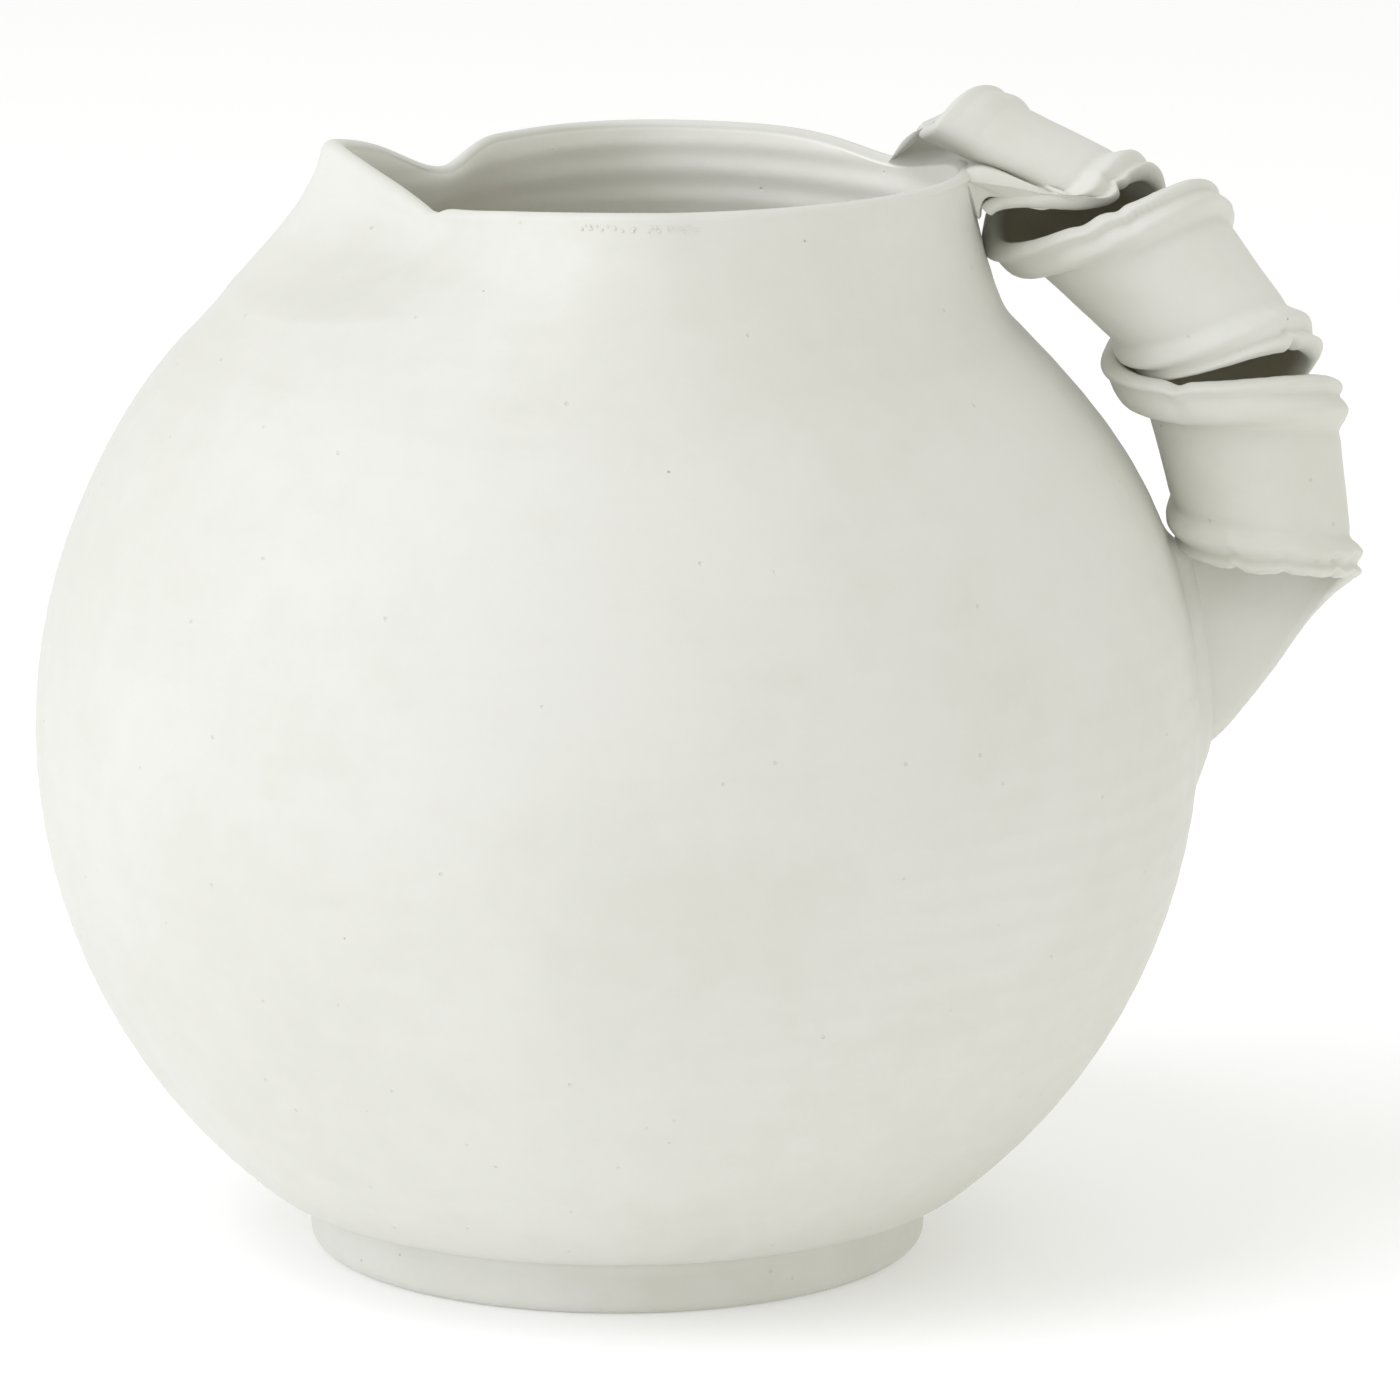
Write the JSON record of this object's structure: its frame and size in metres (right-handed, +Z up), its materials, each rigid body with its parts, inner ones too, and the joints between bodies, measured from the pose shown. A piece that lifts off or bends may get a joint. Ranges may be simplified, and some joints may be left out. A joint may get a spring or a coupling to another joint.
{
  "type": "pitcher",
  "caption": "Hand-thrown globe pitcher on a turned foot, with a low collar, a pinched pouring spout and a wound ribbed strap handle.",
  "frame": {"origin": "centre of the foot ring's resting plane", "axes": "+Z up along the globe's axis, +X towards the handle, -X towards the spout"},
  "size_m": [0.2734, 0.24, 0.2414],
  "materials": {
    "body_glaze": "satin matt white glaze with fine specks",
    "foot_glaze": "satin matt white glaze, thinner at the turned edges",
    "handle_glaze": "satin matt white glaze, pooled in the grooves"
  },
  "bodies": {
    "root": {"foot_ring": "foot_glaze", "globe": "body_glaze", "neck_collar": "body_glaze", "pouring_spout": "body_glaze", "handle_strap": "handle_glaze", "upper_handle_joint": "handle_glaze", "lower_handle_joint": "handle_glaze"}
  },
  "joints": []
}
